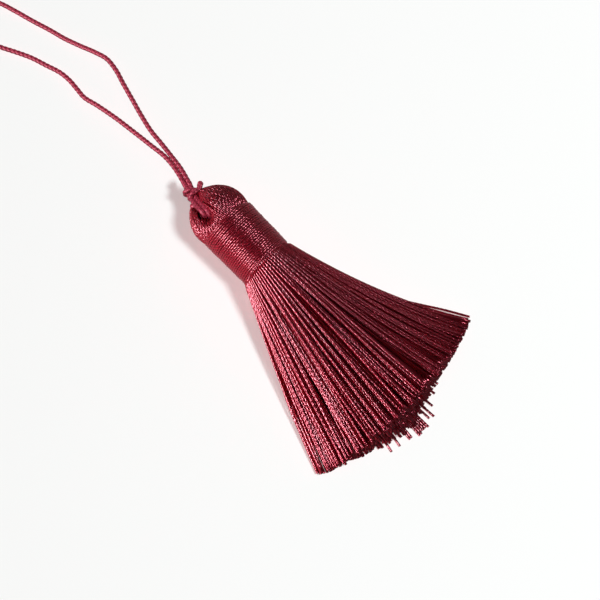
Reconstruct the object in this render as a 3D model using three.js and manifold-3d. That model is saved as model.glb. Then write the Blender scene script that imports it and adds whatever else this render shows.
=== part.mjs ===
// A wine-red yarn tassel lying on its side on a table, its skirt fanned out, with a thin braided cord
// that is knotted just above the head and runs out in one long hanging loop.
// Millimetres, +Z up. +X runs along the tassel from its head to its cut ends, and the origin is on
// the table under the middle of the tassel.
import * as THREE from 'three';
import { mergeVertices } from 'three/addons/utils/BufferGeometryUtils.js';
import Module from 'manifold-3d';

const wasm = await Module();
wasm.setup();

// Placing: the middle of the neck's top edge, where the binding starts
const NECK_TOP_X = -31.6;
const AXIS_Y = -0.2;
const AXIS_Z = 7.8;
const CLEARANCE = 0.3; // between two pieces that lie against each other
const MERGE_DISTANCE = 1e-4; // points nearer than this are one point of a solid

// Colours and roughness of the wine-red yarn and the lighter cord
const YARN_COLOUR = '#7d2032';
const THREAD_COLOUR = '#8a2438';
const YARN_ROUGHNESS = 0.45;
const CORD_COLOUR = '#a83a50';
const CORD_ROUGHNESS = 0.55;

// Head and neck: the folded hank, a row for each section from the crown to the end of the neck.
// x is measured from the neck's top edge, lean is how far the section sits to one side of the neck and
// drop how far below its axis, and cleft is the share of depth that the fold's crease takes.
const BUNDLE_SECTIONS = [
  { x: -10.6, radius: 1.4, lean: 0.4, drop: 0.4, cleft: 0.3 },
  { x: -10.2, radius: 2.8, lean: 0.4, drop: 0.4, cleft: 0.3 },
  { x: -9.4, radius: 3.9, lean: 0.4, drop: 0.4, cleft: 0.3 },
  { x: -8.2, radius: 5.2, lean: 0.3, drop: 0.4, cleft: 0.3 },
  { x: -6.8, radius: 6.3, lean: 0.2, drop: 0.4, cleft: 0.29 },
  { x: -5.4, radius: 7.2, lean: 0, drop: 0.4, cleft: 0.26 },
  { x: -4.0, radius: 7.7, lean: -0.1, drop: 0.4, cleft: 0.22 },
  { x: -2.4, radius: 7.9, lean: -0.2, drop: 0.4, cleft: 0.12 },
  { x: -1.1, radius: 7.8, lean: -0.1, drop: 0.3, cleft: 0.04 },
  { x: -0.4, radius: 7.4, lean: 0, drop: 0.1, cleft: 0 },
  { x: -0.4, radius: 6.9, lean: 0, drop: 0, cleft: 0 },
  { x: 15.3, radius: 6.55, lean: 0, drop: 0, cleft: 0 },
];
const BUNDLE_SIDES = 36;
const CLEFT_ROLL = THREE.MathUtils.degToRad(28); // the fold is rolled this far from straight up
const CLEFT_WIDTH = 2.2;
const CLEFT_BASE_X = -1.0; // the crease draws the yarn in towards this point of the axis
const NECK_LENGTH = BUNDLE_SECTIONS.at(-1).x;

// Binding: thread wound round the neck in one layer
const BINDING_THREAD = 0.6;
const BINDING_EDGE_STEPS = 4; // in the round of its first and last turns
const BINDING_SIDES = 40;

// Skirt: rings of strands that leave the neck and lie on the table as a flat-bottomed fan
const STRAND_RINGS = 8;
const STRANDS_A_RING = 6; // and as many more in each further ring
const STRAND_ROOT_REACH = 5.5; // radius of the outer ring in the end of the neck
const STRAND_ROOT_DEPTH = 1.0;
const STRAND_ROOT_SIZE = 0.32;
const STRAND_TIP_WIDTH = 1.0;
const STRAND_TIP_HEIGHT = 0.48;
const STRAND_STATIONS = [0.05, 0.38, 1]; // shares of a strand's length
const FAN_START_REACH = 7.4; // the strands spring out to this radius past the binding
const FAN_HALF_WIDTH = 28.0; // at the tips
const FAN_HEIGHT = 9.5; // of the pile, at the middle of the tips
const FAN_ARCH_POWER = 6; // only the outermost ring lies flat right out to the fan's edges
const FAN_LENGTH = 49.5; // along the axis, from the neck to the tips of the middle strands
const FAN_EDGE_SHORTER = 4.8; // the outer strands reach less far along the axis
const FAN_UNDER_LONGER = 8.0; // the lowest middle strands reach further
const FAN_UNDER_MIDDLE = -0.07; // share of the half width at which the longest of them lies
const FAN_UNDER_SPREAD = 0.38; // and over which they do
const FAN_FLARE = 0.1; // the edges open slowly at first
const FAN_FLARE_LEFT_RIGHT = 0.15; // and more so on the +Y side
const TIP_UNEVENNESS = 1.4; // between the longest and the shortest of like strands
const TRIM_STEP = (Math.sqrt(5) - 1) / 2; // spreads that unevenness over the strands with no repeat
const UNDER_TOUCHDOWN = 0.35; // share of its length after which an under strand lies on the table
const TOP_TOUCHDOWN = 1.1; // the top strands are still coming down at their tips
const FALL_START = -0.2; // the strands already slope down where they leave the binding
const HEADING_STEP = 0.02; // share of a strand's length over which its heading is read

// Cord: a thin braided cord, doubled, with an overhand knot
const CORD_DIAMETER = 1.3;
const CORD_SIDES = 8;
const LOOP_STEPS = 72;
const LOOP_ROUTE = [
  [-45.2, 0.15, 7.9],
  [-50.0, 1.5, 7.1],
  [-54.5, 2.2, 6.2],
  [-58.5, 2.5, 5.4],
  [-62.8, 2.9, 4.8],
  [-67.8, 4.0, 4.4],
  [-72.3, 5.2, 4.2],
  [-77.2, 6.5, 4.0],
  [-81.2, 7.5, 3.6],
  [-85.4, 7.8, 3.0],
  [-88.8, 7.2, 2.2],
  [-93.4, 5.7, 1.3],
  [-97.9, 4.2, 0.8],
  [-101.7, 3.2, 0.7],
  [-107.2, 1.5, 0.7],
  [-112.2, 0.1, 0.7],
  [-116.5, -1.3, 0.7],
  [-120.4, -3.4, 0.7],
  [-122.0, -6.8, 0.7],
  [-120.6, -10.2, 0.7],
  [-116.8, -11.6, 0.7],
  [-112.0, -10.9, 0.7],
  [-107.7, -9.3, 0.7],
  [-104.0, -7.4, 0.7],
  [-100.0, -5.5, 0.7],
  [-95.8, -4.1, 0.7],
  [-91.2, -2.9, 0.8],
  [-88.4, -2.7, 1.1],
  [-85.1, -2.9, 1.5],
  [-82.5, -3.0, 1.9],
  [-78.0, -2.1, 2.5],
  [-72.1, -1.1, 3.4],
  [-66.1, -0.4, 4.3],
  [-60.1, 0.2, 5.3],
  [-54.7, 0.5, 6.2],
  [-50.9, 0.1, 6.9],
  [-47.2, -0.8, 7.6],
  [-45.3, -1.35, 7.9],
];
// The two runs of cord from the loop through the knot, over the crown and down into the cleft
const KNOT_RUN_STEPS = 12;
const KNOT_RUNS = [
  [
    [-44.9, 0.1, 7.95],
    [-43.3, -0.3, 8.4],
    [-41.5, -0.75, 9.4],
    [-39.6, -1.3, 10.9],
    [-37.9, -1.8, 12.2],
    [-36.4, -2.1, 12.5],
    [-35.4, -2.2, 11.4],
    [-35.1, -2.1, 9.8],
  ],
  [
    [-45.0, -1.4, 7.95],
    [-43.5, -1.6, 8.4],
    [-41.7, -2.0, 9.3],
    [-39.8, -2.5, 10.6],
    [-38.1, -3.0, 11.8],
    [-36.6, -3.3, 12.0],
    [-35.6, -3.4, 10.9],
    [-35.3, -3.2, 9.4],
  ],
];
// The turn round both runs, from one cut end that stands up, over the runs and back under them
const KNOT_TURN_STEPS = 20;
const KNOT_TURN = [
  [-43.5, 2.3, 9.3],
  [-42.8, 1.5, 9.4],
  [-42.7, 0.5, 9.5],
  [-43.2, -0.6, 9.9],
  [-43.9, -1.7, 9.5],
  [-44.2, -2.5, 8.4],
  [-43.8, -2.0, 7.3],
  [-43.1, -0.8, 6.9],
  [-42.5, 0.5, 7.2],
  [-42.0, 1.4, 8.0],
];
// The other cut end, beside the runs
const KNOT_END_STEPS = 4;
const KNOT_END = [
  [-43.4, -1.4, 7.6],
  [-42.8, -2.0, 7.8],
  [-41.7, -2.6, 7.8],
];

// Shapes shared by the pieces

// A closed solid through rings of points that all have the same count, its ends closed by fans.
function loft(rings) {
  const sides = rings[0].length;
  const points = rings.flat();
  const triangles = [];
  for (let ring = 0; ring < rings.length - 1; ring += 1) {
    for (let side = 0; side < sides; side += 1) {
      const here = ring * sides + side;
      const next = ring * sides + ((side + 1) % sides);
      triangles.push(here, next, next + sides, here, next + sides, here + sides);
    }
  }
  const last = (rings.length - 1) * sides;
  for (let side = 1; side < sides - 1; side += 1) {
    triangles.push(0, side + 1, side);
    triangles.push(last, last + side, last + side + 1);
  }
  const geometry = new THREE.BufferGeometry().setFromPoints(points);
  geometry.setIndex(triangles);
  return geometry;
}

function cordTube(curve, steps, diameter) {
  const section = new THREE.Shape();
  for (let side = 0; side < CORD_SIDES; side += 1) {
    const angle = (side / CORD_SIDES) * 2 * Math.PI;
    const x = (diameter / 2) * Math.cos(angle);
    const y = (diameter / 2) * Math.sin(angle);
    if (side === 0) section.moveTo(x, y);
    else section.lineTo(x, y);
  }
  section.closePath();
  return new THREE.ExtrudeGeometry(section, { steps, bevelEnabled: false, extrudePath: curve });
}

function curveThrough(points) {
  return new THREE.CatmullRomCurve3(points.map((point) => new THREE.Vector3(...point)));
}

function solidOf(geometry) {
  const bare = geometry.clone();
  bare.deleteAttribute('normal');
  bare.deleteAttribute('uv');
  const merged = mergeVertices(bare, MERGE_DISTANCE);
  return new wasm.Manifold(
    new wasm.Mesh({
      numProp: 3,
      vertProperties: new Float32Array(merged.attributes.position.array),
      triVerts: new Uint32Array(merged.index.array),
    }),
  );
}

function geometryOf(solid) {
  const mesh = solid.getMesh();
  const geometry = new THREE.BufferGeometry();
  geometry.setAttribute('position', new THREE.BufferAttribute(mesh.vertProperties, 3));
  geometry.setIndex(new THREE.BufferAttribute(mesh.triVerts, 1));
  geometry.computeVertexNormals();
  return geometry;
}

// Head and neck: round sections, drawn in along the crease and pressed flat on the table

function bundleRing({ x, radius, lean, drop, cleft }) {
  const ring = [];
  for (let side = 0; side < BUNDLE_SIDES; side += 1) {
    const angle = (side / BUNDLE_SIDES) * 2 * Math.PI;
    const across = radius * Math.cos(angle);
    const up = radius * Math.sin(angle);
    const fromCrease = across * Math.cos(CLEFT_ROLL) + up * Math.sin(CLEFT_ROLL);
    const kept = 1 - cleft * Math.exp(-((fromCrease / CLEFT_WIDTH) ** 2));
    ring.push(
      new THREE.Vector3(
        NECK_TOP_X + CLEFT_BASE_X + (x - CLEFT_BASE_X) * kept,
        AXIS_Y + lean + across * kept,
        Math.max(0, AXIS_Z - drop + up * kept),
      ),
    );
  }
  return ring;
}

function headAndNeck() {
  const body = solidOf(loft(BUNDLE_SECTIONS.map(bundleRing)));
  const channel = CORD_DIAMETER + 2 * CLEARANCE;
  return KNOT_RUNS.reduce(
    (left, run) => left.subtract(solidOf(cordTube(curveThrough(run), KNOT_RUN_STEPS, channel))),
    body,
  );
}

// Skirt: each strand has a place in the round end of the neck, by its ring and its angle from +Y.
// In the fan the lower half of each ring lies flat and the upper half arches over it, so that
// across runs from -1 to 1 over the fan and level from 0 on the table to 1 on top of the pile.

function strandPlace(ring, index) {
  const count = Math.max(1, ring * STRANDS_A_RING);
  const turn = ((index + 0.5) / count) * 2 - 1;
  const reach = ring / STRAND_RINGS;
  const side = 1 - 2 * Math.abs(turn);
  const arch = THREE.MathUtils.lerp(Math.sqrt(1 - side * side), 1, reach ** FAN_ARCH_POWER);
  return {
    right: reach * Math.cos(turn * Math.PI),
    up: reach * Math.sin(turn * Math.PI),
    across: reach * side,
    level: (1 + Math.sign(turn) * reach * arch) / 2,
    trim: (((ring + index * STRAND_RINGS) * TRIM_STEP) % 1) - 0.5,
  };
}

function strandPoint({ right, up, across, level, trim }, along) {
  const mix = THREE.MathUtils.lerp;
  const fromMiddle = (across - FAN_UNDER_MIDDLE) / FAN_UNDER_SPREAD;
  const under = FAN_UNDER_LONGER * (1 - level) * Math.exp(-(fromMiddle ** 2));
  const length = FAN_LENGTH - FAN_EDGE_SHORTER * across * across + under + TIP_UNEVENNESS * trim;
  const flare = FAN_FLARE + FAN_FLARE_LEFT_RIGHT * across;
  const opened = along - flare * along * (1 - along);
  const halfHeight = mix(STRAND_ROOT_SIZE, STRAND_TIP_HEIGHT, along) / 2;
  const pile = halfHeight + level * FAN_HEIGHT * (1 - across * across);
  const fallen = THREE.MathUtils.smoothstep(along, FALL_START, mix(UNDER_TOUCHDOWN, TOP_TOUCHDOWN, level));
  const start = Math.max(halfHeight, AXIS_Z + FAN_START_REACH * up);
  return new THREE.Vector3(
    NECK_TOP_X + NECK_LENGTH + along * length,
    mix(AXIS_Y + FAN_START_REACH * right, FAN_HALF_WIDTH * across, opened),
    mix(start, pile, fallen),
  );
}

function strandRing(centre, sideways, width, height) {
  const ring = [];
  for (const [right, up] of [[-1, -1], [1, -1], [1, 1], [-1, 1]]) {
    ring.push(
      new THREE.Vector3(
        centre.x + sideways.x * right * (width / 2),
        centre.y + sideways.y * right * (width / 2),
        centre.z + up * (height / 2),
      ),
    );
  }
  return ring;
}

function strand(place) {
  const mix = THREE.MathUtils.lerp;
  const root = new THREE.Vector3(
    NECK_TOP_X + NECK_LENGTH - STRAND_ROOT_DEPTH,
    AXIS_Y + STRAND_ROOT_REACH * place.right,
    AXIS_Z + STRAND_ROOT_REACH * place.up,
  );
  const rings = [strandRing(root, new THREE.Vector3(0, 1, 0), STRAND_ROOT_SIZE, STRAND_ROOT_SIZE)];
  for (const along of STRAND_STATIONS) {
    const centre = strandPoint(place, along);
    const ahead = strandPoint(place, along + HEADING_STEP).sub(centre);
    const sideways = new THREE.Vector3(-ahead.y, ahead.x, 0).normalize();
    const width = mix(STRAND_ROOT_SIZE, STRAND_TIP_WIDTH, along);
    const height = mix(STRAND_ROOT_SIZE, STRAND_TIP_HEIGHT, along);
    rings.push(strandRing(centre, sideways, width, height));
  }
  return loft(rings);
}

function strandPlaces() {
  const places = [];
  for (let ring = 0; ring <= STRAND_RINGS; ring += 1) {
    const count = Math.max(1, ring * STRANDS_A_RING);
    for (let index = 0; index < count; index += 1) places.push(strandPlace(ring, index));
  }
  return places;
}

function tasselYarn() {
  const yarn = strandPlaces().reduce((joined, place) => joined.add(solidOf(strand(place))), headAndNeck());
  return geometryOf(yarn);
}

// Binding: one lathed sleeve with rounded edges, as the wound thread is from a step away

function neckBinding() {
  const topRadius = BUNDLE_SECTIONS.at(-2).radius + CLEARANCE;
  const endRadius = BUNDLE_SECTIONS.at(-1).radius + CLEARANCE;
  const length = NECK_LENGTH - CLEARANCE;
  const roundEdge = BINDING_THREAD / 2;
  const profile = [];
  for (const [inner, middle, start] of [
    [topRadius, roundEdge, -Math.PI / 2],
    [endRadius, length - roundEdge, 0],
  ]) {
    for (let step = 0; step <= BINDING_EDGE_STEPS; step += 1) {
      const angle = start + (step / BINDING_EDGE_STEPS) * (Math.PI / 2);
      const radius = inner + roundEdge + roundEdge * Math.cos(angle);
      profile.push(new THREE.Vector2(radius, middle + roundEdge * Math.sin(angle)));
    }
  }
  profile.push(new THREE.Vector2(endRadius, length));
  profile.push(new THREE.Vector2(topRadius, 0));
  profile.push(profile[0].clone());
  return new THREE.LatheGeometry(profile, BINDING_SIDES);
}

// Knot: the two runs of cord into the head, the turn round both, and the other cut end

function loopKnot() {
  const cords = [
    cordTube(curveThrough(KNOT_TURN), KNOT_TURN_STEPS, CORD_DIAMETER),
    cordTube(curveThrough(KNOT_END), KNOT_END_STEPS, CORD_DIAMETER),
    ...KNOT_RUNS.map((run) => cordTube(curveThrough(run), KNOT_RUN_STEPS, CORD_DIAMETER)),
  ];
  return geometryOf(cords.map(solidOf).reduce((joined, cord) => joined.add(cord)));
}

// Assembly

function piece(name, geometry, colour, roughness) {
  const material = new THREE.MeshStandardMaterial({ color: colour, roughness, metalness: 0 });
  const mesh = new THREE.Mesh(geometry, material);
  mesh.name = name;
  return mesh;
}

const group = new THREE.Group();
group.add(piece('tassel_yarn', tasselYarn(), YARN_COLOUR, YARN_ROUGHNESS));

const binding = piece('neck_binding', neckBinding(), THREAD_COLOUR, YARN_ROUGHNESS);
binding.rotation.z = -Math.PI / 2;
binding.position.set(NECK_TOP_X, AXIS_Y, AXIS_Z);
group.add(binding);

group.add(piece('loop_knot', loopKnot(), CORD_COLOUR, CORD_ROUGHNESS));

const loop = cordTube(curveThrough(LOOP_ROUTE), LOOP_STEPS, CORD_DIAMETER);
group.add(piece('hanging_loop', loop, CORD_COLOUR, CORD_ROUGHNESS));

export default group;
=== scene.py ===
# A wine-red yarn tassel lying on a pale table, with its skirt fanned out and its braided hanging loop.
# The pieces are worked out in millimetres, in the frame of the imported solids, and meshed in metres.
import math

import bpy
import numpy as np
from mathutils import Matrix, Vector


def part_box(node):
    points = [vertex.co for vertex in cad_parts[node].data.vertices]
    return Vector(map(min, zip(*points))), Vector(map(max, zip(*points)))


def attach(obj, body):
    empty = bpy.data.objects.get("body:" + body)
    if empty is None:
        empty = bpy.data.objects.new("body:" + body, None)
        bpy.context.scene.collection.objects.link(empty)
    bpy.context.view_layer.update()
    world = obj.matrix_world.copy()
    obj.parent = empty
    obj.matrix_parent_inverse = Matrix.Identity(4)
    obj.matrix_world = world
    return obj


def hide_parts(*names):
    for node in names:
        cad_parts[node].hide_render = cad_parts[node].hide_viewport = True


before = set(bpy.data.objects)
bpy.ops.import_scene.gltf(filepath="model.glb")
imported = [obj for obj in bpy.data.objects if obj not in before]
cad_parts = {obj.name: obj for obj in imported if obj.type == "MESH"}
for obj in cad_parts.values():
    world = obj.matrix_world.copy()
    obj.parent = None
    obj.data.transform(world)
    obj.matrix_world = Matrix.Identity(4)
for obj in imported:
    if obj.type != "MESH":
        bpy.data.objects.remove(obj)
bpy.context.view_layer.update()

# Camera: a long lens a little under half a metre away, looking almost straight down on the tassel,
# turned so that its head is at the upper left and its cut ends are at the lower right.
MM = 0.001  # a millimetre in metres
CAMERA_AIM = (-4.5, -0.6, 7.4)  # the middle of the picture
CAMERA_TURN = math.radians(45.9)
CAMERA_FROM_UPRIGHT = math.radians(10.0)
CAMERA_DISTANCE = 450.0
CAMERA_LENS = 108.0
CAMERA_SENSOR = 36.0  # the width that the lens is given for
CAMERA_NEAREST = 10.0  # nothing nearer than this is drawn

camera_back = Vector((
    math.sin(CAMERA_FROM_UPRIGHT) * math.sin(CAMERA_TURN),
    -math.sin(CAMERA_FROM_UPRIGHT) * math.cos(CAMERA_TURN),
    math.cos(CAMERA_FROM_UPRIGHT),
))
bpy.ops.object.camera_add(
    location=(Vector(CAMERA_AIM) + camera_back * CAMERA_DISTANCE) * MM,
    rotation=(CAMERA_FROM_UPRIGHT, 0, CAMERA_TURN),
)
camera = bpy.context.object
camera.data.lens = CAMERA_LENS
camera.data.sensor_width = CAMERA_SENSOR
camera.data.clip_start = CAMERA_NEAREST * MM
bpy.context.scene.camera = camera

# Hanging loop: a thin round cord, braided from fine viscose strands that go round it both ways.
# It leaves the knot above the head, runs out, turns back just outside the picture and returns.
CORD_DIAMETER = 1.3
BRAID_STRANDS = 3  # each way round: fewer and broader than the real ones, so that they show in the picture
BRAID_LEAD = 3.6  # length in which a strand goes once round the cord
BRAID_RELIEF = 0.16  # depth of the gaps between the strands
BRAID_RISE = 0.5  # of a strand where it crosses over another, as a share of its height
CORD_SIDES = 40
CORD_STEP = 0.125  # along the cord, from one row of the mesh to the next
LOOP_ROUTE = [
    (-45.2, 0.05, 7.9),
    (-50.0, 1.3, 7.1),
    (-54.5, 1.95, 6.2),
    (-58.5, 2.45, 5.4),
    (-62.8, 2.9, 4.8),
    (-67.8, 4.0, 4.4),
    (-72.3, 5.2, 4.2),
    (-77.2, 6.5, 4.0),
    (-81.2, 7.65, 3.6),
    (-85.4, 8.1, 3.0),
    (-88.8, 7.3, 2.2),
    (-93.4, 5.7, 1.3),
    (-97.9, 4.2, 0.8),
    (-101.7, 3.2, 0.7),
    (-107.2, 1.5, 0.7),
    (-112.2, 0.1, 0.7),
    (-116.5, -1.3, 0.7),
    (-120.4, -3.4, 0.7),
    (-122.0, -6.8, 0.7),
    (-120.6, -10.2, 0.7),
    (-116.8, -11.6, 0.7),
    (-112.0, -10.9, 0.7),
    (-107.7, -9.3, 0.7),
    (-104.0, -7.4, 0.7),
    (-100.0, -5.5, 0.7),
    (-95.8, -4.1, 0.7),
    (-91.2, -2.7, 0.8),
    (-88.4, -2.5, 1.1),
    (-85.1, -2.75, 1.5),
    (-82.5, -3.0, 1.9),
    (-78.0, -2.1, 2.5),
    (-72.1, -1.1, 3.4),
    (-66.1, -0.4, 4.3),
    (-60.1, 0.2, 5.3),
    (-54.7, 0.65, 6.2),
    (-50.9, 0.25, 6.9),
    (-47.2, -0.62, 7.6),
    (-45.3, -1.17, 7.9),
]
# painted shade in the gaps between the strands, and the cord's colour on top of them
CORD_GAP_SHADE = "#6e1628"
CORD_LIGHT = "#cc465f"
CORD_SHINE = "#ff8c9c"
# the cut ends, dark and without shine, and painted shade on the packed heart
CUT_END_AND_SHADE_COLOUR = "#2a060b"
UV_STRIPS = "OFBake"  # a UV map with a strip for each tube


def smooth_route(points, step):
    """Points about a step apart on a smooth curve through the given points."""
    knots = np.array(points, float)
    spans = np.linalg.norm(np.diff(knots, axis=0), axis=1)
    places = np.concatenate([[0.0], np.cumsum(spans)])
    slopes = np.gradient(knots, places, axis=0)
    count = int(round(places[-1] / step)) + 1
    wanted = np.linspace(0.0, places[-1], count)
    span = np.clip(np.searchsorted(places, wanted, side="right") - 1, 0, len(spans) - 1)
    past = ((wanted - places[span]) / spans[span])[:, None]
    left = 1 - past
    size = spans[span][:, None]
    start = (1 + 2 * past) * left ** 2 * knots[span] + past * left ** 2 * size * slopes[span]
    end = past ** 2 * (1 + 2 * left) * knots[span + 1] - past ** 2 * left * size * slopes[span + 1]
    return start + end


def carried_frames(paths):
    """Two directions square to each path at each of its points, carried along it without a twist."""
    along = np.gradient(paths, axis=1)
    along /= np.linalg.norm(along, axis=2, keepdims=True)
    across = np.empty_like(along)
    carried = np.cross(along[:, 0], (0.0, 0.0, 1.0))
    for point in range(paths.shape[1]):
        heading = along[:, point]
        carried = carried - heading * np.sum(carried * heading, axis=1, keepdims=True)
        carried /= np.linalg.norm(carried, axis=1, keepdims=True)
        across[:, point] = carried
    return across, np.cross(along, across)


def distances_along(paths):
    """How far along its path each point is."""
    steps = np.linalg.norm(np.diff(paths, axis=1), axis=2)
    return np.concatenate([np.zeros((len(paths), 1)), np.cumsum(steps, axis=1)], axis=1)


def tubes(name, paths, across_offsets, out_offsets, shades, side_material, end_material):
    """One mesh of closed tubes along like paths, with a strip of the UV map for each tube and a shade for
    each point; the cut ends have a material of their own."""
    across, out = carried_frames(paths)
    points = (
        paths[:, :, None]
        + across[:, :, None] * across_offsets[..., None]
        + out[:, :, None] * out_offsets[..., None]
    )
    count, rows, sides = points.shape[:3]
    tube = np.arange(count)
    row = np.arange(rows - 1)
    side = np.arange(sides)
    here = (tube[:, None, None] * rows + row[:, None]) * sides + side
    beside = here - side + (side + 1) % sides
    quads = np.stack([here, beside, beside + sides, here + sides], axis=-1).reshape(-1, 4)
    near_ends = tube[:, None] * rows * sides + side[::-1]
    far_ends = (tube[:, None] * rows + rows - 1) * sides + side

    corners_round = np.stack([side, side + 1, side + 1, side], axis=-1)
    corners_along = np.stack([row, row, row + 1, row + 1], axis=-1)
    round_share = (tube[:, None, None] + corners_round / sides) / count
    along_share = corners_along / (rows - 1)
    quad_map = np.stack(np.broadcast_arrays(along_share[:, None], round_share[:, None]), axis=-1)
    end_share = (tube[:, None] + side / sides) / count
    near_map = np.stack([np.zeros_like(end_share), end_share[:, ::-1]], axis=-1)
    far_map = np.stack([np.ones_like(end_share), end_share], axis=-1)

    mesh = bpy.data.meshes.new(name)
    faces = quads.tolist() + near_ends.tolist() + far_ends.tolist()
    mesh.from_pydata((points.reshape(-1, 3) * MM).tolist(), [], faces, shade_flat=False)
    strips = mesh.uv_layers.new(name=UV_STRIPS)
    corner_map = np.concatenate([part.reshape(-1) for part in (quad_map, near_map, far_map)])
    strips.uv.foreach_set("vector", corner_map.astype(np.float32))
    shade = mesh.attributes.new("shade", "FLOAT", "POINT")
    point_shades = np.broadcast_to(shades, points.shape[:3]).reshape(-1)
    shade.data.foreach_set("value", point_shades.astype(np.float32))
    cut_end = np.arange(len(faces)) >= len(quads)
    sharp = mesh.attributes.new("sharp_face", "BOOLEAN", "FACE")
    sharp.data.foreach_set("value", cut_end)
    mesh.materials.append(side_material)
    mesh.materials.append(end_material)
    mesh.polygons.foreach_set("material_index", cut_end.astype(np.int32))
    piece = bpy.data.objects.new(name, mesh)
    bpy.context.collection.objects.link(piece)
    return piece


def braid(paths, swell):
    """A braided cord's surface: strands that go round both ways, over and under in turn. Gives its offsets
    from the path, changed by the swell, and a painted shade, from 0 in a gap to 1 on top of a strand."""
    turn = np.arange(CORD_SIDES) / CORD_SIDES
    reach = distances_along(paths)[..., None] / BRAID_LEAD
    left = BRAID_STRANDS * (turn + reach)
    right = BRAID_STRANDS * (turn - reach)
    left_off = left - np.round(left)
    right_off = right - np.round(right)
    rise = BRAID_RISE * np.cos(np.pi * (np.round(left) + np.round(right)))
    left_height = np.sqrt(1 - (2 * left_off) ** 2) + rise * np.cos(np.pi * right_off)
    right_height = np.sqrt(1 - (2 * right_off) ** 2) - rise * np.cos(np.pi * left_off)
    height = np.maximum(left_height, right_height) / (1 + BRAID_RISE)
    radius = swell * (CORD_DIAMETER / 2 - BRAID_RELIEF * (1 - height))
    angle = 2 * np.pi * turn
    shade = np.clip(height, 0, 1) ** 2  # painted shade in the gaps: squared, which keeps them dark
    return radius * np.cos(angle), radius * np.sin(angle), shade


def linear(hex_colour):
    """A linear colour from an sRGB hex value."""
    levels = [int(hex_colour[i:i + 2], 16) / 255 for i in (1, 3, 5)]
    return (*[c / 12.92 if c <= 0.04045 else ((c + 0.055) / 1.055) ** 2.4 for c in levels], 1.0)


def add_node(tree, kind, settings, links):
    """Adds a shader node, sets its properties and inputs, and links its inputs from outputs. An input that
    shares its name with another goes by its number."""
    node = tree.nodes.new(kind)
    for name, value in settings.items():
        if isinstance(name, int) or name in node.inputs:
            node.inputs[name].default_value = value
        else:
            setattr(node, name, value)
    for name, output in links.items():
        tree.links.new(output, node.inputs[name])
    return node


def braided_viscose():
    """Braided viscose cord: fine filaments at steep angles, so that it glints in many small spots. Its
    colour is painted darker in the gaps between the strands, as shade.
    """
    material = bpy.data.materials.new("braided_viscose_cord")
    material.use_nodes = True
    tree = material.node_tree
    tree.nodes.clear()
    shade = add_node(tree, "ShaderNodeAttribute", {"attribute_name": "shade"}, {})
    colour = add_node(
        tree,
        "ShaderNodeMix",
        {"data_type": "RGBA", "A": linear(CORD_GAP_SHADE), "B": linear(CORD_LIGHT)},
        {"Factor": shade.outputs["Fac"]},
    )
    surface = add_node(
        tree,
        "ShaderNodeBsdfPrincipled",
        {
            "Roughness": 0.4,
            "IOR": 1.54,
            "Specular IOR Level": 0.5,
            "Specular Tint": linear(CORD_SHINE),
        },
        {"Base Color": colour.outputs["Result"]},
    )
    add_node(tree, "ShaderNodeOutputMaterial", {}, {"Surface": surface.outputs["BSDF"]})
    return material


def cut_ends_and_shade():
    """Cut ends of viscose filaments, dark and without shine; the packed heart's painted shade has this
    colour too.
    """
    material = bpy.data.materials.new("cut_ends_and_painted_shade")
    material.use_nodes = True
    surface = material.node_tree.nodes["Principled BSDF"]
    surface.inputs["Base Color"].default_value = linear(CUT_END_AND_SHADE_COLOUR)
    surface.inputs["Roughness"].default_value = 0.9
    surface.inputs["Specular IOR Level"].default_value = 0.1
    return material


cord_material = braided_viscose()
ends_and_shade_material = cut_ends_and_shade()
loop_path = smooth_route(LOOP_ROUTE, CORD_STEP)
hanging_loop = tubes(
    "hanging_loop_cord", loop_path[None], *braid(loop_path[None], 1.0), cord_material, ends_and_shade_material
)
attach(hanging_loop, "root")
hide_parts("hanging_loop")

# Knot: an overhand knot in the doubled cord, pulled tight just above the head. Its cut ends are sealed in
# round tips; one stands up beside it, and both runs go on over the crown and down into the head's hollow.
CORD_RUNS = [
    [
        (-43.4, -0.75, 8.15),
        (-41.5, -1.35, 8.9),
        (-39.5, -1.8, 10.3),
        (-37.6, -1.95, 11.9),
        (-36.2, -2.1, 12.7),
        (-35.1, -2.3, 12.3),
        (-34.6, -2.5, 10.9),
    ],
    [
        (-43.9, -1.9, 8.2),
        (-42.3, -2.4, 8.8),
        (-40.3, -2.8, 10.1),
        (-38.4, -3.1, 11.6),
        (-37.0, -3.2, 12.4),
        (-35.9, -3.3, 12.1),
        (-35.4, -3.3, 10.8),
    ],
]
RUN_OVERLAP = 8  # steps of the loop's path: a run starts inside the loop's end, two overlaps back
RUN_START = 0.85  # thickness of a run there, as a share of the cord's
RUN_GROWTH = 0.17  # and how much of it the run gains as it comes out over the loop's end
# From each sealed tip: the turn of the knot, the end that lies beside it, and a short end under the runs
KNOT_ENDS = [
    [
        (-43.5, 2.35, 9.4),
        (-42.95, 1.65, 9.4),
        (-42.55, 1.1, 9.4),
        (-42.25, 0.5, 9.5),
        (-42.6, -0.2, 9.7),
        (-43.35, -0.8, 9.85),
        (-43.95, -1.6, 9.75),
        (-44.25, -2.4, 8.9),
        (-43.8, -2.5, 7.7),
        (-43.1, -1.1, 7.0),
        (-42.5, 0.1, 7.2),
        (-41.9, 0.6, 7.5),
        (-41.2, 0.9, 7.3),
    ],
    [
        (-41.75, -2.85, 8.0),
        (-42.3, -2.35, 8.7),
        (-42.65, -1.6, 9.5),
        (-42.45, -0.75, 9.8),
        (-42.05, -0.2, 9.0),
        (-41.9, 0.0, 7.8),
    ],
    [
        (-40.75, -3.6, 8.2),
        (-40.2, -3.35, 8.8),
        (-39.3, -2.9, 9.2),
    ],
]
TIP_SWELL = 1.25  # the sealed tip, as a share of the cord's thickness
TIP_LENGTH = 4.0  # over which that swelling runs out


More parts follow.
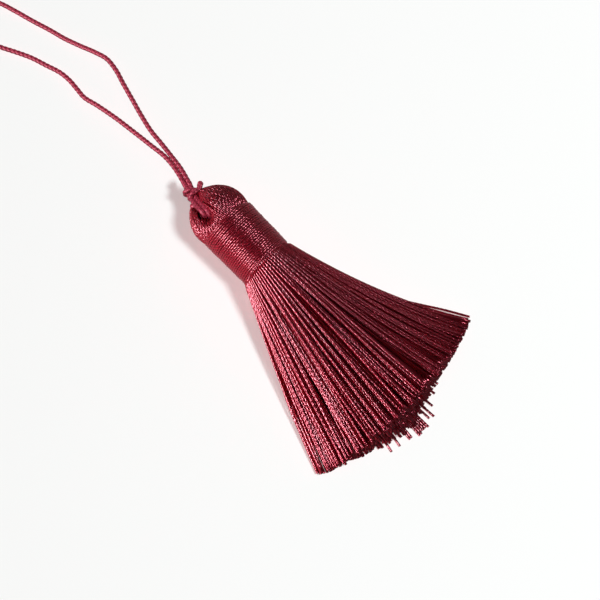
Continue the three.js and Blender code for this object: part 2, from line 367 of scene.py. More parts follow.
def join(name, pieces):
    """Joins meshes into one piece of that name."""
    bpy.ops.object.select_all(action="DESELECT")
    for piece in pieces:
        piece.select_set(True)
    bpy.context.view_layer.objects.active = pieces[0]
    bpy.ops.object.join()
    pieces[0].name = name
    return pieces[0]


def smoothstep(value, start, end):
    """0 before the start, 1 after the end, and a smooth rise between."""
    share = np.clip((value - start) / (end - start), 0, 1)
    return share * share * (3 - 2 * share)


def sealed_tip(path):
    """How thick a cord is along its path from a sealed tip: round at the tip, and swollen behind it."""
    from_tip = distances_along(path[None])[0][:, None]
    tip_radius = TIP_SWELL * CORD_DIAMETER / 2
    rounding = np.sqrt(1 - np.clip(1 - (from_tip + CORD_STEP / 2) / tip_radius, 0, 1) ** 2)
    return rounding * (1 + (TIP_SWELL - 1) * (1 - smoothstep(from_tip, 0, TIP_LENGTH)))


def grown_from_loop(path):
    """How thick a run is along its path, so that it starts inside the loop's end and then covers it."""
    from_start = distances_along(path[None])[0][:, None]
    return RUN_START + RUN_GROWTH * smoothstep(from_start, 0, RUN_OVERLAP * CORD_STEP)


loop_ends = (loop_path[2 * RUN_OVERLAP::-RUN_OVERLAP], loop_path[-1 - 2 * RUN_OVERLAP::RUN_OVERLAP])
run_paths = [smooth_route([*end, *points], CORD_STEP) for end, points in zip(loop_ends, CORD_RUNS)]
end_paths = [smooth_route(points, CORD_STEP) for points in KNOT_ENDS]
knot_parts = [(path, grown_from_loop(path)) for path in run_paths]
knot_parts += [(path, sealed_tip(path)) for path in end_paths]
knot = join(
    "cord_knot",
    [
        tubes(f"knot_cord_{place}", path[None], *braid(path[None], swell), cord_material, ends_and_shade_material)
        for place, (path, swell) in enumerate(knot_parts)
    ],
)
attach(knot, "root")
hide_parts("loop_knot")

# Head: the folded middle of a hank of viscose yarn, nearly a ball with two lobes. The yarns come out of the
# binding, run up over the lobes to the crown and turn in there under the cord, which lies in a cleft between
# the lobes and goes down into a hollow. Yarns that find no room near the crown go under others.
YARN_RADIUS = 0.3
YARN_SIDES = 8
PLIES = 2
YARN_PITCH = 2.5  # length in which the plies go once round each other
PLY_RELIEF = 0.04  # of the radius: how far the plies stand out from a round
PLY_DEPTH = 0.08  # of the grooves between the plies, in a yarn with a slack of 1
PLY_FULLNESS = 0.6  # a power: the smaller, the flatter a ply and the narrower the grooves
TWIST_UNEVENNESS = 0.2  # share by which the twist changes, from one stretch of yarn to the next
TWIST_STRETCH = 6.0
# the colour of dull yarns, and painted shade in the grooves between the plies and at the cut tips
YARN_DULL_AND_SHADED = "#74060f"
YARN_LIGHT = "#d4223e"
YARN_SHINE = "#e84466"
YARN_SHEEN = "#ffb0c6"
SEED = 11  # for all the small differences between the yarns
HEAD_YARNS = 104
HEAD_ROWS = 90
HEAD_SHADES = (0.3, 0.8)  # dullest to brightest yarn, set low: partly painted shade that tones down the glints
HEAD_SLACK = 1.5  # the tight turn over the crown opens the plies
HEAD_YARN_SHIFT = 0.12  # to either side, as a share of the space between two yarns
HEAD_MIDDLE = -2.0  # of the ball, along the axis from the neck's top
HEAD_DROP = 0.3  # below the neck's axis
HEAD_LEAN = (-0.05, 0.2)  # to one side of the neck, at the binding and at the crown
# Degrees from the crown and the ball's radius there
HEAD_PROFILE = [
    (0, 8.75),
    (12, 8.65),
    (25, 8.3),
    (45, 8.05),
    (75, 7.95),
    (90, 7.9),
    (100, 7.85),
    (108, 7.9),
    (118, 8.1),
]
HEAD_POLE = (-41.6, -1.9, 8.8)  # where the yarns turn in at the crown
POLE_EDGE = math.radians(4)  # how near to it they begin
HEAD_HOLLOW = (-35.0, -2.85, 12.6)  # where the cord goes in
HOLLOW_WIDTH = math.radians(13)
HOLLOW_DEPTH = 0.24  # share of the radius
CLEFT_DEPTH = 0.24  # share of the radius
CLEFT_WIDTH = 1.5
CLEFT_FADE = math.radians(24)  # past the hollow
CLEFT_AT_CROWN = (math.radians(-25), math.radians(25))  # where it begins
HEAD_SINK = 0.38  # how deep a yarn without room lies
SINK_SHARE = 0.15  # share of the crowding over which it goes down
HEAD_YARN_END = 0.8  # under the binding
HEAD_TUCK = 0.96  # share of a yarn's length after which it dips under the binding
END_SEARCH_STEPS = 500  # from the pole to the far side of the ball
CORD_BED = 1.5  # how far round the cord the yarns are pressed in

binding_low, binding_high = (np.array(corner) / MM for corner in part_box("neck_binding"))
NECK_TOP = binding_low[0]
NECK_AXIS = (binding_low + binding_high) / 2
generator = np.random.default_rng(SEED)


def two_ply(name, paths, shades, slack):
    """Twisted two-ply yarns along like paths, with a shade for each yarn or for each point of its path. The
    material reads each corner's place across the plies and its yarn's slack."""
    turn = np.arange(YARN_SIDES) / YARN_SIDES
    reach = distances_along(paths)
    stretches = int(reach.max() / TWIST_STRETCH) + 2
    steps = 1 + generator.uniform(-TWIST_UNEVENNESS, TWIST_UNEVENNESS, (len(paths), stretches))
    stretch_ends = np.arange(stretches) * TWIST_STRETCH
    turns_there = np.cumsum(steps, axis=1) * TWIST_STRETCH / YARN_PITCH
    twist = np.stack([np.interp(places, stretch_ends, turns) for places, turns in zip(reach, turns_there)])
    twist = twist + generator.uniform(0, 1, (len(paths), 1))
    radius = YARN_RADIUS * (1 + PLY_RELIEF * np.cos(2 * np.pi * PLIES * (turn - twist[..., None])))
    angle = 2 * np.pi * turn
    yarns = tubes(
        name,
        paths,
        radius * np.cos(angle),
        radius * np.sin(angle),
        shades[..., None],
        yarn_material,
        ends_and_shade_material,
    )
    next_turn = turn + 1 / YARN_SIDES
    corner_turn = np.stack([turn, next_turn, next_turn, turn], axis=-1)
    corner_twist = np.stack([twist[:, :-1], twist[:, :-1], twist[:, 1:], twist[:, 1:]], axis=-1)
    side_corners = PLIES * (corner_turn - corner_twist[:, :, None])
    across_plies = np.zeros(len(yarns.data.loops), np.float32)
    across_plies[:side_corners.size] = side_corners.reshape(-1)
    ply = yarns.data.attributes.new("ply", "FLOAT", "CORNER")
    ply.data.foreach_set("value", across_plies)
    slackness = yarns.data.attributes.new("slack", "FLOAT", "CORNER")
    slackness.data.foreach_set("value", np.full_like(across_plies, slack))
    return yarns


def bright_viscose():
    """Bright viscose yarn, twisted from two plies of smooth parallel filaments: each ply is deep red, with
    a silky red shine and a paler glint on it. Colour and glint are painted darker in the grooves, as shade."""
    material = bpy.data.materials.new("bright_viscose_yarn")
    material.use_nodes = True
    tree = material.node_tree
    tree.nodes.clear()
    ply = add_node(tree, "ShaderNodeAttribute", {"attribute_name": "ply"}, {})
    phase = add_node(tree, "ShaderNodeMath", {"operation": "MULTIPLY", 1: np.pi}, {0: ply.outputs["Fac"]})
    wave = add_node(tree, "ShaderNodeMath", {"operation": "COSINE"}, {0: phase.outputs["Value"]})
    ridge = add_node(tree, "ShaderNodeMath", {"operation": "ABSOLUTE"}, {0: wave.outputs["Value"]})
    height = add_node(
        tree,
        "ShaderNodeMath",
        {"operation": "POWER", 1: PLY_FULLNESS},
        {0: ridge.outputs["Value"]},
    )
    shade = add_node(tree, "ShaderNodeAttribute", {"attribute_name": "shade"}, {})
    # the yarn's own tone times the ply's height: painted shade in the grooves, and it weights the glint too
    tone_and_painted_shade = add_node(
        tree,
        "ShaderNodeMath",
        {"operation": "MULTIPLY"},
        {0: shade.outputs["Fac"], 1: height.outputs["Value"]},
    )
    colour = add_node(
        tree,
        "ShaderNodeMix",
        {"data_type": "RGBA", "A": linear(YARN_DULL_AND_SHADED), "B": linear(YARN_LIGHT)},
        {"Factor": tone_and_painted_shade.outputs["Value"]},
    )
    slack = add_node(tree, "ShaderNodeAttribute", {"attribute_name": "slack"}, {})
    grooves = add_node(
        tree,
        "ShaderNodeBump",
        {"Distance": PLY_DEPTH * MM},
        {"Height": height.outputs["Value"], "Strength": slack.outputs["Fac"]},
    )
    surface = add_node(
        tree,
        "ShaderNodeBsdfPrincipled",
        {
            "Roughness": 0.25,
            "IOR": 1.8,
            "Specular IOR Level": 0.5,
            "Specular Tint": linear(YARN_SHINE),
            "Coat Roughness": 0.22,
            "Coat IOR": 1.6,
            "Sheen Weight": 0.1,
            "Sheen Roughness": 0.35,
            "Sheen Tint": linear(YARN_SHEEN),
        },
        {
            "Base Color": colour.outputs["Result"],
            "Normal": grooves.outputs["Normal"],
            "Coat Weight": tone_and_painted_shade.outputs["Value"],
            "Coat Normal": grooves.outputs["Normal"],
        },
    )
    add_node(tree, "ShaderNodeOutputMaterial", {}, {"Surface": surface.outputs["BSDF"]})
    return material


def thinning_order(count):
    """For yarns side by side, the share of room below which each goes under: every other one first, then
    every other one of the rest, and so on."""
    place = np.arange(count)
    return (place % 2) / 2 + (place // 2 % 2) / 4 + (place // 4 % 2) / 8


head_middle = np.array([NECK_TOP + HEAD_MIDDLE, NECK_AXIS[1], NECK_AXIS[2] - HEAD_DROP])
crown_way = np.array([-1.0, 0.0, 0.0])
pole_way = np.array(HEAD_POLE) - head_middle
pole_way /= np.linalg.norm(pole_way)
hollow_way = np.array(HEAD_HOLLOW) - head_middle
hollow_way /= np.linalg.norm(hollow_way)
hollow_angle = np.arccos(hollow_way @ pole_way)
cleft_along = hollow_way - pole_way * (hollow_way @ pole_way)
cleft_along /= np.linalg.norm(cleft_along)
cleft_side = np.cross(pole_way, cleft_along)


def head_points(from_pole, round_pole, sink):
    """Points of the head, by their angle from its pole, their angle round it and how deep they lie."""
    outward = (
        np.cos(from_pole)[..., None] * pole_way
        + (np.sin(from_pole) * np.cos(round_pole))[..., None] * cleft_along
        + (np.sin(from_pole) * np.sin(round_pole))[..., None] * cleft_side
    )
    from_crown = np.arccos(np.clip(outward @ crown_way, -1, 1))
    angles, radii = np.array(HEAD_PROFILE, float).T
    radius = np.interp(np.degrees(from_crown), angles, radii)
    along_cleft = np.arctan2(outward @ cleft_along, outward @ pole_way)
    in_cleft = (
        np.exp(-((outward @ cleft_side) * radius / CLEFT_WIDTH) ** 2)
        * smoothstep(along_cleft, *CLEFT_AT_CROWN)
        * (1 - smoothstep(along_cleft, hollow_angle, hollow_angle + CLEFT_FADE))
    )
    from_hollow = np.arccos(np.clip(outward @ hollow_way, -1, 1))
    in_hollow = np.exp(-(from_hollow / HOLLOW_WIDTH) ** 2)
    pressed_in = CLEFT_DEPTH * in_cleft + HOLLOW_DEPTH * in_hollow
    points = head_middle + outward * (radius * (1 - pressed_in) - sink)[..., None]
    to_crown = smoothstep(points[..., 0], NECK_TOP, NECK_TOP - radii[0])
    points[..., 1] += HEAD_LEAN[0] + (HEAD_LEAN[1] - HEAD_LEAN[0]) * to_crown
    points[..., 2] = np.maximum(points[..., 2], YARN_RADIUS)
    return points


yarn_material = bright_viscose()
head_shifts = generator.uniform(-HEAD_YARN_SHIFT, HEAD_YARN_SHIFT, HEAD_YARNS)
head_turns = 2 * np.pi * (np.arange(HEAD_YARNS) + head_shifts) / HEAD_YARNS
trial_angles = np.linspace(POLE_EDGE, np.pi, END_SEARCH_STEPS)
trial_points = head_points(trial_angles[None], head_turns[:, None], 0.0)
past_neck_top = trial_points[..., 0] > NECK_TOP + HEAD_YARN_END
past_neck_top[:, -1] = True
end_angles = trial_angles[past_neck_top.argmax(axis=1)]
head_angles = POLE_EDGE + (end_angles - POLE_EDGE)[:, None] * np.linspace(0, 1, HEAD_ROWS)
room = np.sin(head_angles)
crowded = smoothstep(thinning_order(HEAD_YARNS)[:, None] - room, -SINK_SHARE, 0)
under_binding = smoothstep(np.linspace(0, 1, HEAD_ROWS), HEAD_TUCK, 1)
sunk = YARN_RADIUS + HEAD_SINK * crowded + 2 * YARN_RADIUS * under_binding
head_paths = head_points(head_angles, head_turns[:, None], sunk)
cord_runs = np.concatenate(run_paths)
to_cord = np.linalg.norm(head_paths[:, :, None] - cord_runs, axis=3).min(axis=2)
head_paths = head_points(head_angles, head_turns[:, None], sunk + np.clip(CORD_BED - to_cord, 0, None))
head_shades = generator.uniform(*HEAD_SHADES, (HEAD_YARNS, 1))
head_yarns = two_ply("head_yarns", head_paths, head_shades, HEAD_SLACK)
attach(head_yarns, "root")
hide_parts("tassel_yarn")

# Heart of the head and neck: the hank's yarns below the outer layer, packed tightly and drawn as one closed
# surface, which shows only in the gaps between the outer yarns and the binding's turns, dark as painted
# shade.
HEART_SINK = 0.85  # below the outside of the head
HEART_SIDES = 48
HEART_ROWS = 40
HEART_POLE_GAP = 0.01  # angle at which it is closed, at the crown and at the far side
NECK_HEART_ENDS = (-1.5, 15.2)  # along the axis from the neck's top
NECK_HEART_RADII = (6.9, 6.5)


def closed_skin(name, rows_of_points, material):
    """A closed mesh through rows of points that go round, with its ends closed."""
    rows, sides = rows_of_points.shape[:2]
    around = np.arange(sides)
    row = np.arange(rows - 1)[:, None] * sides
    here = row + around
    beside = row + (around + 1) % sides
    faces = np.stack([here, beside, beside + sides, here + sides], axis=-1).reshape(-1, 4).tolist()
    faces.append(around[::-1].tolist())
    faces.append((around + (rows - 1) * sides).tolist())
    mesh = bpy.data.meshes.new(name)
    mesh.from_pydata((rows_of_points.reshape(-1, 3) * MM).tolist(), [], faces, shade_flat=False)
    mesh.materials.append(material)
    skin = bpy.data.objects.new(name, mesh)
    bpy.context.collection.objects.link(skin)
    return skin


heart_round = 2 * np.pi * np.arange(HEART_SIDES) / HEART_SIDES
heart_angles = np.linspace(HEART_POLE_GAP, np.pi - HEART_POLE_GAP, HEART_ROWS)[:, None]
head_heart = closed_skin("head_heart", head_points(heart_angles, heart_round, HEART_SINK), ends_and_shade_material)
neck_heart_radius = np.array(NECK_HEART_RADII)[:, None]
neck_heart = closed_skin(
    "neck_heart",
    np.stack(
        np.broadcast_arrays(
            NECK_TOP + np.array(NECK_HEART_ENDS)[:, None],
            NECK_AXIS[1] + neck_heart_radius * np.cos(heart_round),
            NECK_AXIS[2] + neck_heart_radius * np.sin(heart_round),
        ),
        axis=-1,
    ),
    ends_and_shade_material,
)
heart = join("packed_heart", [head_heart, neck_heart])
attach(heart, "root")
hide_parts("tassel_yarn")

# Binding: one length of the same viscose yarn, wound tight round the neck, turn beside turn, to hold the
# folded hank together. Its two ends are tucked in under the first and the last turn.
BINDING_TURNS = 25
BINDING_STEPS_A_TURN = 180
# darker than the skirt's yarns: painted shade that tones down the binding's colour and glint
BINDING_SHADE = 0.54
BINDING_SLACK = 0.8  # the winding flattens the plies
BINDING_END_RADIUS = 7.3  # of the yarn's middle, at the skirt
BINDING_TUCK = 0.25  # turns in which an end goes under
BINDING_UNEVENNESS = 0.04
UNEVEN_PLACES_A_TURN = 3

binding_length = binding_high[0] - binding_low[0]
binding_top_radius = (binding_high[1] - binding_low[1]) / 2 - YARN_RADIUS
binding_share = np.linspace(0, 1, BINDING_TURNS * BINDING_STEPS_A_TURN + 1)
binding_angle = 2 * np.pi * BINDING_TURNS * binding_share
uneven_share = np.linspace(0, 1, BINDING_TURNS * UNEVEN_PLACES_A_TURN + 1)
uneven_out, uneven_along = generator.normal(0, BINDING_UNEVENNESS, (2, len(uneven_share)))
turns_from_end = np.minimum(binding_share, 1 - binding_share) * BINDING_TURNS
tucked = 1 - smoothstep(turns_from_end, 0, BINDING_TUCK)
binding_radius = (
    binding_top_radius
    + (BINDING_END_RADIUS - binding_top_radius) * binding_share
    + np.interp(binding_share, uneven_share, uneven_out)
    - 2 * YARN_RADIUS * tucked
)
binding_along = (
    NECK_TOP
    + YARN_RADIUS
    + (binding_length - 2 * YARN_RADIUS) * binding_share
    + np.interp(binding_share, uneven_share, uneven_along)
)
binding_right = NECK_AXIS[1] + binding_radius * np.cos(binding_angle)
binding_up = np.maximum(YARN_RADIUS, NECK_AXIS[2] + binding_radius * np.sin(binding_angle))
binding_path = np.stack([binding_along, binding_right, binding_up], axis=-1)
binding = two_ply("binding_yarn", binding_path[None], np.array([[BINDING_SHADE]]), BINDING_SLACK)
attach(binding, "root")
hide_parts("neck_binding")

# Skirt: the hank's cut ends below the binding, several hundred viscose yarns that fan out over the table.
# They are held in the round neck and keep its order: the lower half lies flat and the upper arches over it.
SKIRT_RINGS = 12
YARNS_A_RING = 6  # and as many more in each further ring
TOP_RINGS = 4  # the outer rings, whose upper halves show
TOP_ROWS = 180
SKIRT_SHADES = (0.45, 1.0)  # from the dullest yarn to the brightest
RIGHT_SLACK = 0.85  # these yarns lie looser
LEFT_SLACK = 0.6  # and these straighter
SKIRT_START = -0.03  # inside the binding; this and the next are shares of a yarn's length
SKIRT_FREED = 0.01  # where the binding's hold ends
ROOT_REACH = 7.15  # radius of the outer ring inside the binding
FAN_START_REACH = 7.5  # and just past it
FAN_HALF_WIDTH = 27.4  # at the tips
FAN_EDGE_CROWDING = 0.7  # the yarns lie closer together at the fan's edges
FAN_HEIGHT = 9.5  # of the pile, at the middle of the tips
FAN_ARCH_POWER = 6  # only the outermost rings lie flat right out to the fan's edges
FAN_LENGTH = 49.8  # along the axis, from the neck to the tips of the middle yarns
FAN_EDGE_SHORTER = 3.0  # the outer yarns reach less far along the axis
FAN_CORNER_SHORTER = 1.3  # and the outermost less again
FAN_CORNER_POWER = 6
FAN_LEFT_LONGER = 0.7
FAN_UNDER_LONGER = 4.2  # the lowest middle yarns reach further
FAN_UNDER_MIDDLE = -0.12  # share of the half width at which the longest of them lies
FAN_UNDER_SPREAD = 0.45  # and over which they do
FAN_FLARE = 0.14  # the edges open slowly at first
FAN_FLARE_LEFT_RIGHT = 0.26  # and more so on the right
TIP_UNEVENNESS = 0.9  # between the longest and the shortest of like yarns
UNDER_TOUCHDOWN = 0.35  # share of its length after which an under yarn lies on the table
TOP_TOUCHDOWN = 1.1  # the top yarns are still coming down at their tips
FALL_START = -0.2  # the yarns already slope down where they leave the binding
SKIRT_LOOSE = 0.3  # share of its length after which a yarn bows and lifts as it fell
LOCK_SPACING = 0.1  # between locks of yarn, as a share of the half width
LOCK_SHIFT = 0.3  # to either side, as a share of that spacing
LOCK_PULL = 0.3  # how far the yarns of a lock are drawn together
# Where the upper yarns part, and how far they move to each side there, as shares of the half width
SKIRT_PARTINGS = [(0.0, 0.02), (0.3, 0.055), (0.5, 0.03)]
PARTING_REACH = 0.1  # how far from it the yarns still move
YARN_STRAY = 0.02  # sideways, as a share of the half width
YARN_LIFT = 0.2
YARN_BOW = 0.45
TIP_PAINTED_SHADE = 0.55  # painted shade at the cut ends, which takes this share of their colour and shine
TIP_SHADE_FROM = 0.93  # share of a yarn's length

ring_sizes = np.maximum(1, YARNS_A_RING * np.arange(SKIRT_RINGS + 1))
rings = np.repeat(np.arange(SKIRT_RINGS + 1), ring_sizes)
places = np.concatenate([np.arange(size) for size in ring_sizes])
turn = (places + 0.5) / ring_sizes[rings] * 2 - 1  # half turns from the neck's right side, upwards
reach = rings / SKIRT_RINGS  # from the neck's middle
side = 1 - 2 * np.abs(turn)  # from 1 at the right to -1 at the left
spot = reach * side
spot = spot + FAN_EDGE_CROWDING * spot * (1 - np.abs(spot))  # sideways in the fan
lock_places = np.arange(-1, 1 + LOCK_SPACING, LOCK_SPACING)
lock_places = lock_places + generator.uniform(-LOCK_SHIFT, LOCK_SHIFT, len(lock_places)) * LOCK_SPACING
nearest_lock = lock_places[np.abs(spot[:, None] - lock_places).argmin(axis=1)]
skirt_yarns = len(rings)
shows = (turn > 0) & (rings > SKIRT_RINGS - TOP_RINGS)
drawn_to_lock = LOCK_PULL * generator.uniform(0, 1, skirt_yarns) * shows
strayed = spot + drawn_to_lock * (nearest_lock - spot) + generator.normal(0, YARN_STRAY, skirt_yarns)
for parting, moved in SKIRT_PARTINGS:
    past = strayed - parting
    strayed = strayed + shows * moved * np.sign(past) * np.exp(-np.abs(past) / PARTING_REACH)
arch = np.sqrt(1 - side ** 2) * (1 - reach ** FAN_ARCH_POWER) + reach ** FAN_ARCH_POWER
skirt = {
    "right": reach * np.cos(turn * np.pi),
    "up": reach * np.sin(turn * np.pi),
    "across": np.where(np.abs(strayed) > 1, 2 * np.sign(strayed) - strayed, strayed),
    "level": (1 + np.sign(turn) * reach * arch) / 2,
    "trim": generator.uniform(-0.5, 0.5, skirt_yarns),
    "lift": generator.normal(0, YARN_LIFT, skirt_yarns),
    "bow": generator.normal(0, YARN_BOW, skirt_yarns),
}


def skirt_paths(chosen, rows):
    """The middle lines of the chosen yarns of the skirt."""
    yarn = {name: values[chosen][:, None] for name, values in skirt.items()}
    along = np.linspace(SKIRT_START, 1, rows)
    across = yarn["across"]
    from_middle = (across - FAN_UNDER_MIDDLE) / FAN_UNDER_SPREAD
    length = (
        FAN_LENGTH
        - FAN_EDGE_SHORTER * across ** 2
        - FAN_CORNER_SHORTER * across ** FAN_CORNER_POWER
        - FAN_LEFT_LONGER * across
        + FAN_UNDER_LONGER * (1 - yarn["level"]) * np.exp(-from_middle ** 2)
        + TIP_UNEVENNESS * yarn["trim"]
    )
    opened = along - (FAN_FLARE + FAN_FLARE_LEFT_RIGHT * across) * along * (1 - along)
    freed = ROOT_REACH + (FAN_START_REACH - ROOT_REACH) * smoothstep(along, 0, SKIRT_FREED)
    touchdown = UNDER_TOUCHDOWN + (TOP_TOUCHDOWN - UNDER_TOUCHDOWN) * yarn["level"]
    fallen = smoothstep(along, FALL_START, touchdown) - smoothstep(SKIRT_START, FALL_START, touchdown)
    loose = smoothstep(along, 0, SKIRT_LOOSE)
    start_side = NECK_AXIS[1] + freed * yarn["right"]
    bowed = yarn["bow"] * np.sin(np.pi * along) * loose
    sideways = start_side + (FAN_HALF_WIDTH * across - start_side) * opened + bowed
    start_height = NECK_AXIS[2] + freed * yarn["up"]
    pile = YARN_RADIUS + yarn["level"] * FAN_HEIGHT * (1 - across ** 2)
    height = start_height + (pile - start_height) * fallen + yarn["lift"] * loose
    return np.stack(
        [binding_high[0] + along * length, sideways, np.maximum(YARN_RADIUS, height)],
        axis=-1,
    )


def tip_shading(rows, shade_from, shade_until):
    """Painted shade towards a skirt yarn's tip: the share of its colour and shine that each row keeps."""
    along = np.linspace(SKIRT_START, 1, rows)
    return 1 - TIP_PAINTED_SHADE * smoothstep(along, shade_from, shade_until)


for name, chosen, slack in [
    ("skirt_right_yarns", shows & (spot >= 0), RIGHT_SLACK),
    ("skirt_left_yarns", shows & (spot < 0), LEFT_SLACK),
]:
    paths = skirt_paths(chosen, TOP_ROWS)
    shades = generator.uniform(*SKIRT_SHADES, (len(paths), 1)) * tip_shading(TOP_ROWS, TIP_SHADE_FROM, 1)
    yarns = two_ply(name, paths, shades, slack)
    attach(yarns, "root")
    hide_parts("tassel_yarn")

# Inner skirt: the rest of the hank's cut ends, below the top yarns and down to the table, of the same
# viscose and held in the neck as those are. They are plain and round, because little but their tips shows.
INNER_ROWS = 22
INNER_SIDES = 5
INNER_RADIUS = 0.38  # with the loose fibres that close the gaps between them
INNER_SHADES = (0.5, 1.0)  # from the dullest yarn to the brightest
INNER_TIP_SHADE = (0.85, 0.95)  # painted shade at the tips: shares of a yarn's length over which it darkens and its shine goes
INNER_PLY = 0.1  # near the top of a ply, all over

inner_paths = skirt_paths(~shows, INNER_ROWS) + (0.0, 0.0, INNER_RADIUS - YARN_RADIUS)
inner_shades = generator.uniform(*INNER_SHADES, (len(inner_paths), 1)) * tip_shading(INNER_ROWS, *INNER_TIP_SHADE)
inner_angle = 2 * np.pi * np.arange(INNER_SIDES) / INNER_SIDES
inner_shape = np.ones((*inner_paths.shape[:2], INNER_SIDES))
inner_yarns = tubes(
    "skirt_inner_yarns",
    inner_paths,
    inner_shape * INNER_RADIUS * np.cos(inner_angle),
    inner_shape * INNER_RADIUS * np.sin(inner_angle),
    inner_shades[..., None],
    yarn_material,
    ends_and_shade_material,
)
inner_ply = inner_yarns.data.attributes.new("ply", "FLOAT", "POINT")
inner_ply.data.foreach_set("value", np.full(len(inner_yarns.data.vertices), INNER_PLY, np.float32))
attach(inner_yarns, "root")
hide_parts("tassel_yarn")

# Longest yarns: bunches of the same viscose yarn at the bottom of the skirt, held in the neck, whose ends
# stick out on the table past the others, and two yarns that stand a little off the skirt's edges.
LONG_SHADE = 0.9
# Tip of each bunch, and how many yarns lie side by side in it
LONG_BUNCHES = [
    (38.1, -10.1, 1),
    (38.7, -7.6, 1),
    (39.2, -4.3, 2),
    (40.2, -0.6, 6),
    (39.0, 2.6, 1),
    (39.2, 3.8, 1),
    (37.3, 5.4, 1),
    (35.8, 8.0, 1),
    (34.5, 10.3, 1),
]
BUNCH_START = (-12.0, 0.0, 0.5)
BUNCH_ROWS = 190
BUNCH_PITCH = 0.62  # from the middle of one yarn to the next
BUNCH_TIP_SHIFT = (-0.4, 0.2)  # how far a tip falls short of its place or passes it
OFF_EDGE_STEP = 0.25  # along a yarn, from one row of the mesh to the next
OFF_EDGE_YARNS = [
    [
        (-10.0, 7.9, 5.0),
        (0.0, 11.2, 3.4),
        (9.0, 16.1, 2.2),
        (16.9, 21.3, 1.2),
        (22.0, 24.7, 0.9),
        (27.7, 28.1, 0.7),
    ],
    [
        (-10.0, -10.6, 4.0),
        (-2.0, -13.9, 2.6),
        (3.9, -16.7, 1.5),
        (10.6, -19.9, 1.0),
        (20.0, -23.7, 0.7),
        (29.2, -27.2, 0.4),
    ],
]

bunch_tips = []
for tip_x, tip_y, count in LONG_BUNCHES:
    for place in range(count):
        from_middle = (place - (count - 1) / 2) * BUNCH_PITCH
        bunch_tips.append((tip_x + generator.uniform(*BUNCH_TIP_SHIFT), tip_y + from_middle, YARN_RADIUS))
bunch_share = np.linspace(0, 1, BUNCH_ROWS)[:, None]
bunch_paths = np.array(BUNCH_START) * (1 - bunch_share) + np.array(bunch_tips)[:, None] * bunch_share
long_paths = [bunch_paths]
for points in OFF_EDGE_YARNS:
    long_paths.append(smooth_route(points, OFF_EDGE_STEP)[None])
long_yarns = join(
    "longest_yarns",
    [
        two_ply(f"long_yarns_{place}", paths, np.full((len(paths), 1), LONG_SHADE), LEFT_SLACK)
        for place, paths in enumerate(long_paths)
    ],
)
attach(long_yarns, "root")
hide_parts("tassel_yarn")

# Stage: a pale table under studio light, with a large softbox on the tassel's left, a smaller one on its
# right and little light overhead, so that silky yarn shows a glint on each side and stays dark on top. The
# table has lights of its own, so that the tassel's one soft shadow falls to the left.
FLOOR_SIZE = 6.0  # metres
FLOOR_COLOUR = "#f6f5f4"
LIGHT_AIM = Vector((0.0, 0.0, 0.006))  # metres: the middle of the tassel
LIGHTS = {
    # name: degrees from straight up, degrees round from +X, metres away, metres across, watts, colour
    "left_softbox": (54.0, 252.0, 1.5, 0.68, 60.0, "#fffaff"),
    "left_card": (89.0, 252.0, 1.5, 1.2, 43.0, "#ffffff"),
    "right_softbox": (51.0, 48.0, 1.5, 0.32, 44.0, "#ffdce8"),
    "right_card": (88.0, 125.0, 1.5, 1.2, 8.0, "#ffffff"),
    "cord_light": (34.0, 215.0, 1.5, 0.5, 15.0, "#ffffff"),
    "table_light": (0.0, 0.0, 4.0, 3.0, 99.0, "#fff4f4"),
    "table_spot": (26.6, 36.9, 1.5, 0.25, 13.5, "#f0ffff"),
    "table_glow": (180.0, 0.0, 0.03, 1.0, 0.85, "#ffd4de"),
}
WORLD_STRENGTH = 0.05


def pale_laminate():
    """A pale laminate table top: smooth but matt, so that it shows soft shadows and no mirror image."""
    material = bpy.data.materials.new("pale_matt_laminate")
    material.use_nodes = True
    surface = material.node_tree.nodes["Principled BSDF"]
    surface.inputs["Base Color"].default_value = linear(FLOOR_COLOUR)
    surface.inputs["Roughness"].default_value = 0.8
    return material


def light_group(name, pieces, link_state):
    """A collection that light linking reads: INCLUDE for these pieces alone, EXCLUDE for all but them."""
    group = bpy.data.collections.new(name)
    for place, piece in enumerate(pieces):
        group.objects.link(piece)
        group.collection_objects[place].light_linking.link_state = link_state
    return group


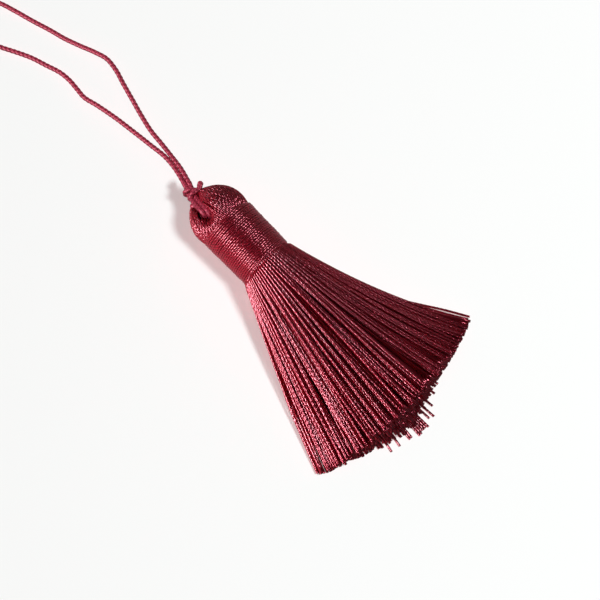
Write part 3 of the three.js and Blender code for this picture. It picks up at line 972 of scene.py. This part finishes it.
bpy.ops.mesh.primitive_plane_add(size=FLOOR_SIZE)
floor = bpy.context.object
floor.name = "floor"
floor.data.materials.append(pale_laminate())
floor.visible_glossy = False  # the yarn's filaments scatter its light and do not mirror it

for name, (tilt, heading, distance, size, watts, colour) in LIGHTS.items():
    tilt = math.radians(tilt)
    heading = math.radians(heading)
    toward = Vector((
        math.sin(tilt) * math.cos(heading),
        math.sin(tilt) * math.sin(heading),
        math.cos(tilt),
    ))
    bpy.ops.object.light_add(
        type="AREA",
        location=LIGHT_AIM + toward * distance,
        rotation=toward.to_track_quat("Z", "Y").to_euler(),
    )
    light = bpy.context.object
    light.name = name
    light.data.size = size
    light.data.energy = watts
    light.data.color = linear(colour)[:3]

table_alone = light_group("table_alone", [floor], "INCLUDE")
cord_alone = light_group("cord_alone", [hanging_loop, knot], "INCLUDE")
all_but_table = light_group("all_but_table", [floor], "EXCLUDE")
all_but_loop = light_group("all_but_loop", [hanging_loop], "EXCLUDE")
tassel_alone = light_group("tassel_alone", [floor, hanging_loop, knot], "EXCLUDE")
lit_pieces = {
    "left_softbox": all_but_table,
    "left_card": tassel_alone,
    "right_softbox": all_but_table,
    "right_card": tassel_alone,
    "cord_light": cord_alone,
    "table_light": table_alone,
    "table_spot": table_alone,
}
for name, pieces in lit_pieces.items():
    bpy.data.objects[name].light_linking.receiver_collection = pieces

# The softboxes and the table's glow light only gloss, and the cards and the cord's light only colour
for name in ("left_softbox", "right_softbox", "table_glow"):
    bpy.data.objects[name].visible_diffuse = False
for name in ("left_card", "right_card", "cord_light"):
    bpy.data.objects[name].visible_glossy = False

# The spot alone casts a shadow on the table, but none of the loop's, and the glow comes up through the table
bpy.data.objects["table_light"].data.use_shadow = False
bpy.data.objects["table_spot"].light_linking.blocker_collection = all_but_loop
bpy.data.objects["table_glow"].light_linking.blocker_collection = all_but_table

world = bpy.data.worlds.new("studio")
world.use_nodes = True
background = world.node_tree.nodes["Background"]
background.inputs["Color"].default_value = (1, 1, 1, 1)
background.inputs["Strength"].default_value = WORLD_STRENGTH
bpy.context.scene.world = world
bpy.context.scene.view_settings.view_transform = "Standard"
